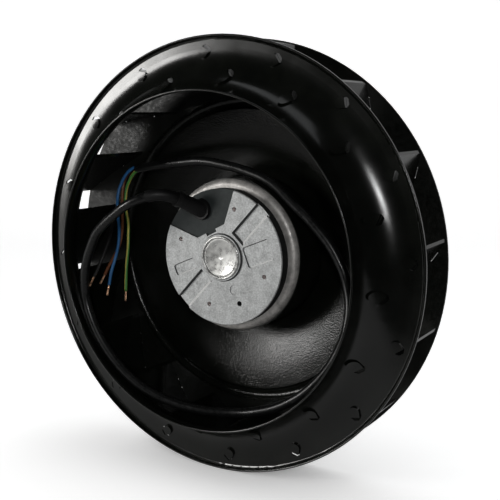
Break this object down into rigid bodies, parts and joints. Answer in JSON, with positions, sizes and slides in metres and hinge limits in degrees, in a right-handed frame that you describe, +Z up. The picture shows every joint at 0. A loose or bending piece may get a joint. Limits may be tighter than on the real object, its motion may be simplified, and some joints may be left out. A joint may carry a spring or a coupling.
{
  "type": "plug fan",
  "caption": "Motorised impeller with backward-leaning sheet blades between a bell-mouth shroud and a dished backplate, on an external-rotor motor held by its flange.",
  "frame": {"origin": "centre of the stator flange's mounting face, on the motor axis", "axes": "+Z up, the motor axis along Y with the inlet facing -Y, +X to the right as seen from the inlet"},
  "size_m": [0.316, 0.1047, 0.316],
  "materials": {
    "black_paint": "glossy black paint on steel sheet",
    "rotor_paint": "satin black paint on steel",
    "cast_alloy": "bare die casting",
    "end_ring_alloy": "bare casting, turned",
    "bright_cap": "bright pressed metal",
    "steel": "ground steel",
    "lamination": "stacked electrical sheet",
    "copper": "bare copper",
    "terminal_plastic": "moulded, fine grain",
    "gland_plastic": "moulded, soft",
    "cable_jacket": "PVC jacket",
    "wire_brown": "PVC insulation",
    "wire_blue": "PVC insulation",
    "wire_black": "PVC insulation",
    "wire_earth": "PVC insulation, green with a yellow stripe"
  },
  "bodies": {
    "stator": {"stator_flange": "cast_alloy", "terminal_cover": "terminal_plastic", "cable_gland": "gland_plastic", "cable_sleeve": "gland_plastic", "gland_ring": "steel", "hub_cap": "bright_cap", "stator_core": "lamination", "winding_front": "copper", "winding_rear": "copper", "front_bearing_outer": "steel", "rear_bearing_outer": "steel", "preload_washer": "steel", "supply_cable": "cable_jacket", "wire_brown": "wire_brown", "wire_blue": "wire_blue", "wire_black": "wire_black", "wire_earth": "wire_earth", "wire_tips": "copper"},
    "impeller": {"shroud": "black_paint", "backplate": "black_paint", "blade_1": "black_paint", "blade_2": "black_paint", "blade_3": "black_paint", "blade_4": "black_paint", "blade_5": "black_paint", "blade_6": "black_paint", "blade_7": "black_paint", "blade_8": "black_paint", "blade_9": "black_paint", "blade_10": "black_paint", "blade_11": "black_paint", "blade_12": "black_paint", "blade_13": "black_paint", "blade_14": "black_paint", "blade_15": "black_paint", "blade_16": "black_paint", "rotor_cup": "rotor_paint", "rotor_core": "lamination", "front_end_ring": "end_ring_alloy", "rear_end_ring": "end_ring_alloy", "shaft": "steel", "retaining_ring": "steel", "front_bearing_inner": "steel", "rear_bearing_inner": "steel", "front_bearing_balls": "steel", "rear_bearing_balls": "steel"}
  },
  "joints": [
    {"name": "impeller_spin", "type": "hinge", "parent": "stator", "child": "impeller", "pos_m": [0, 0, 0], "axis": [0, 1, 0], "continuous": true}
  ]
}
